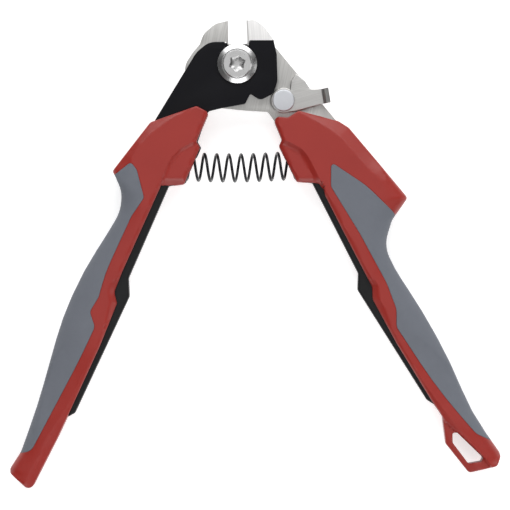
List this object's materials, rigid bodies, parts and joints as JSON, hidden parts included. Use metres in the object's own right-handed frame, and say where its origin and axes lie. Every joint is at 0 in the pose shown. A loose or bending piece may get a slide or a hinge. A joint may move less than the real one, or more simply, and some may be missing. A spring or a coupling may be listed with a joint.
{
  "type": "cable cutter",
  "caption": "Spring-loaded hand cable cutter with crossing bypass blades, thumb latch and two-shot handles, one with a hanging loop, shown open.",
  "frame": {"origin": "on the pivot axis, at the rear end face of the pivot bolt, which lies in the plane of the handles' backs", "axes": "+Z along the pivot axis towards the front, where the bolt head and the latch are; +Y from the pivot to the jaws; +X towards the handle with the hanging loop"},
  "size_m": [0.1824, 0.1743, 0.017],
  "materials": {
    "satin_steel": "ground satin",
    "bright_steel": "bright plated",
    "black_coated_steel": "black oxide with a ground bare jaw",
    "black_spring_steel": "black oxide wire",
    "red_plastic": "moulded, satin",
    "black_nylon": "moulded, glass filled",
    "grey_rubber": "moulded soft grip, matt",
    "white_nylon": "moulded"
  },
  "bodies": {
    "rear_side": {"rear_blade": "satin_steel", "pivot_bolt": "bright_steel", "pivot_cup_washer": "bright_steel", "pivot_rear_washer": "satin_steel", "pivot_nut": "satin_steel", "nut_nylon_ring": "white_nylon", "latch_rivet": "bright_steel", "latch_wave_washer": "satin_steel", "return_spring": "black_spring_steel", "right_handle_core": "black_nylon", "right_tang_pin": "satin_steel", "right_front_shell": "red_plastic", "right_rear_shell": "red_plastic", "right_grip": "grey_rubber"},
    "front_side": {"front_blade": "black_coated_steel", "left_handle_core": "black_nylon", "left_tang_pin": "satin_steel", "left_front_shell": "red_plastic", "left_rear_shell": "red_plastic", "left_grip": "grey_rubber"},
    "latch": {"latch_lever": "satin_steel"}
  },
  "joints": [
    {"name": "handle_closing", "type": "hinge", "parent": "rear_side", "child": "front_side", "pos_m": [0, 0, 0.0085], "axis": [0, 0, 1], "range_deg": [0, 50], "stiffness_Nm_per_rad": 0.45, "springref_deg": -20.05, "deforming": ["return_spring"]},
    {"name": "latch_swing", "type": "hinge", "parent": "rear_side", "child": "latch", "pos_m": [0.0172, -0.0136, 0.0101], "axis": [0, 0, 1], "range_deg": [0, 37]}
  ]
}
